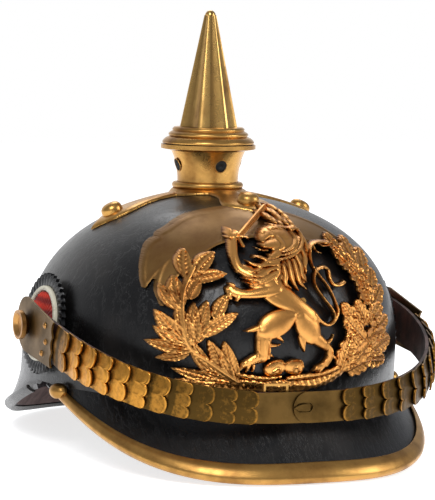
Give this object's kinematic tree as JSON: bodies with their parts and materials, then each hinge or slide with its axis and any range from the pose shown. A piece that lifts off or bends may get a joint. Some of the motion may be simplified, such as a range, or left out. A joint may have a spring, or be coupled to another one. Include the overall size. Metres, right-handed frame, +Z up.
{
  "type": "pickelhaube",
  "caption": "Spiked leather helmet with peaks front and back, brass cross and fluted spike, crest plate, cockades and hooked chin scales.",
  "frame": {"origin": "on the plane that the two peaks rest on, under the spike's axis", "axes": "+Z up along the spike, -Y is the wearer's forward direction, -X is the wearer's right"},
  "size_m": [0.2198, 0.2964, 0.2306],
  "materials": {
    "skull_leather": "black lacquered leather with fine grain",
    "peak_leather": "black lacquered leather with fine cracks",
    "lining_leather": "thin dyed leather",
    "tan_leather": "tanned leather",
    "brown_leather": "brown strap leather with dark edges",
    "silk": "ribbed silk",
    "cockade_black": "black lacquer over pleats",
    "cockade_white": "cream white enamel",
    "cockade_red": "red ribbed cloth",
    "gilt_brass": "fire-gilt brass, warm and bright",
    "flat_brass": "plain brass sheet, duller",
    "scale_brass": "brass with uneven tarnish",
    "aged_brass": "aged polished brass"
  },
  "bodies": {
    "helmet": {"banner_scroll": "flat_brass", "cross_stud_nuts": "aged_brass", "cross_studs": "aged_brass", "cruciform_base": "aged_brass", "emblem_nuts": "aged_brass", "emblem_posts": "aged_brass", "front_emblem": "gilt_brass", "front_visor": "peak_leather", "front_visor_lining": "lining_leather", "front_visor_trim": "aged_brass", "left_cockade_centre": "cockade_red", "left_cockade_rim": "cockade_black", "left_cockade_ring": "cockade_white", "left_rosette_post": "aged_brass", "neck_base_ring": "aged_brass", "rear_spine": "aged_brass", "rear_visor": "peak_leather", "rear_visor_binding": "peak_leather", "rear_visor_lining": "lining_leather", "right_cockade_centre": "cockade_red", "right_cockade_rim": "cockade_black", "right_cockade_ring": "cockade_white", "right_rosette_post": "aged_brass", "rosette_nuts": "aged_brass", "silk_lining": "silk", "skull_shell": "skull_leather", "spike_neck": "aged_brass", "spike_socket": "aged_brass", "spine_nuts": "aged_brass", "spine_screws": "aged_brass", "sweatband": "tan_leather", "trim_end_bosses": "aged_brass"},
    "spike_screw": {"spike_tang": "aged_brass"},
    "spike": {"spike_flange": "aged_brass", "spike_cone": "aged_brass"},
    "right_chin_scales": {"right_clasp_plate": "scale_brass", "right_end_plate": "scale_brass", "right_plate_rivets": "aged_brass", "right_scales_1": "scale_brass", "right_scales_2": "scale_brass", "right_scales_3": "scale_brass", "right_scales_4": "scale_brass", "right_scales_5": "scale_brass", "right_scales_6": "scale_brass", "right_strap_leather": "brown_leather", "clasp_hook": "scale_brass", "strap_buckle": "aged_brass"},
    "left_chin_scales": {"left_clasp_plate": "scale_brass", "left_end_plate": "scale_brass", "left_plate_rivets": "aged_brass", "left_scales_1": "scale_brass", "left_scales_2": "scale_brass", "left_scales_3": "scale_brass", "left_scales_4": "scale_brass", "left_scales_5": "scale_brass", "left_scales_6": "scale_brass", "left_strap_leather": "brown_leather"}
  },
  "joints": [
    {"name": "spike_rise", "type": "slide", "parent": "helmet", "child": "spike_screw", "axis": [0, 0, 1], "range_m": [0, 0.012]},
    {"name": "spike_turn", "type": "hinge", "parent": "spike_screw", "child": "spike", "pos_m": [0, 0, 0.16], "axis": [0, 0, 1], "range_deg": [0, 2880]},
    {"name": "right_scales_lift", "type": "hinge", "parent": "helmet", "child": "right_chin_scales", "pos_m": [-0.103, -0.01, 0.067], "axis": [-1, 0, 0], "range_deg": [0, 75]},
    {"name": "left_scales_lift", "type": "hinge", "parent": "helmet", "child": "left_chin_scales", "pos_m": [0.103, -0.01, 0.067], "axis": [-1, 0, 0], "range_deg": [0, 75]}
  ],
  "couplings": [
    {"joint": "spike_turn", "follows": "spike_rise", "rad_per_m": 4188.8},
    {"joint": "left_scales_lift", "follows": "right_scales_lift", "ratio": 1}
  ]
}
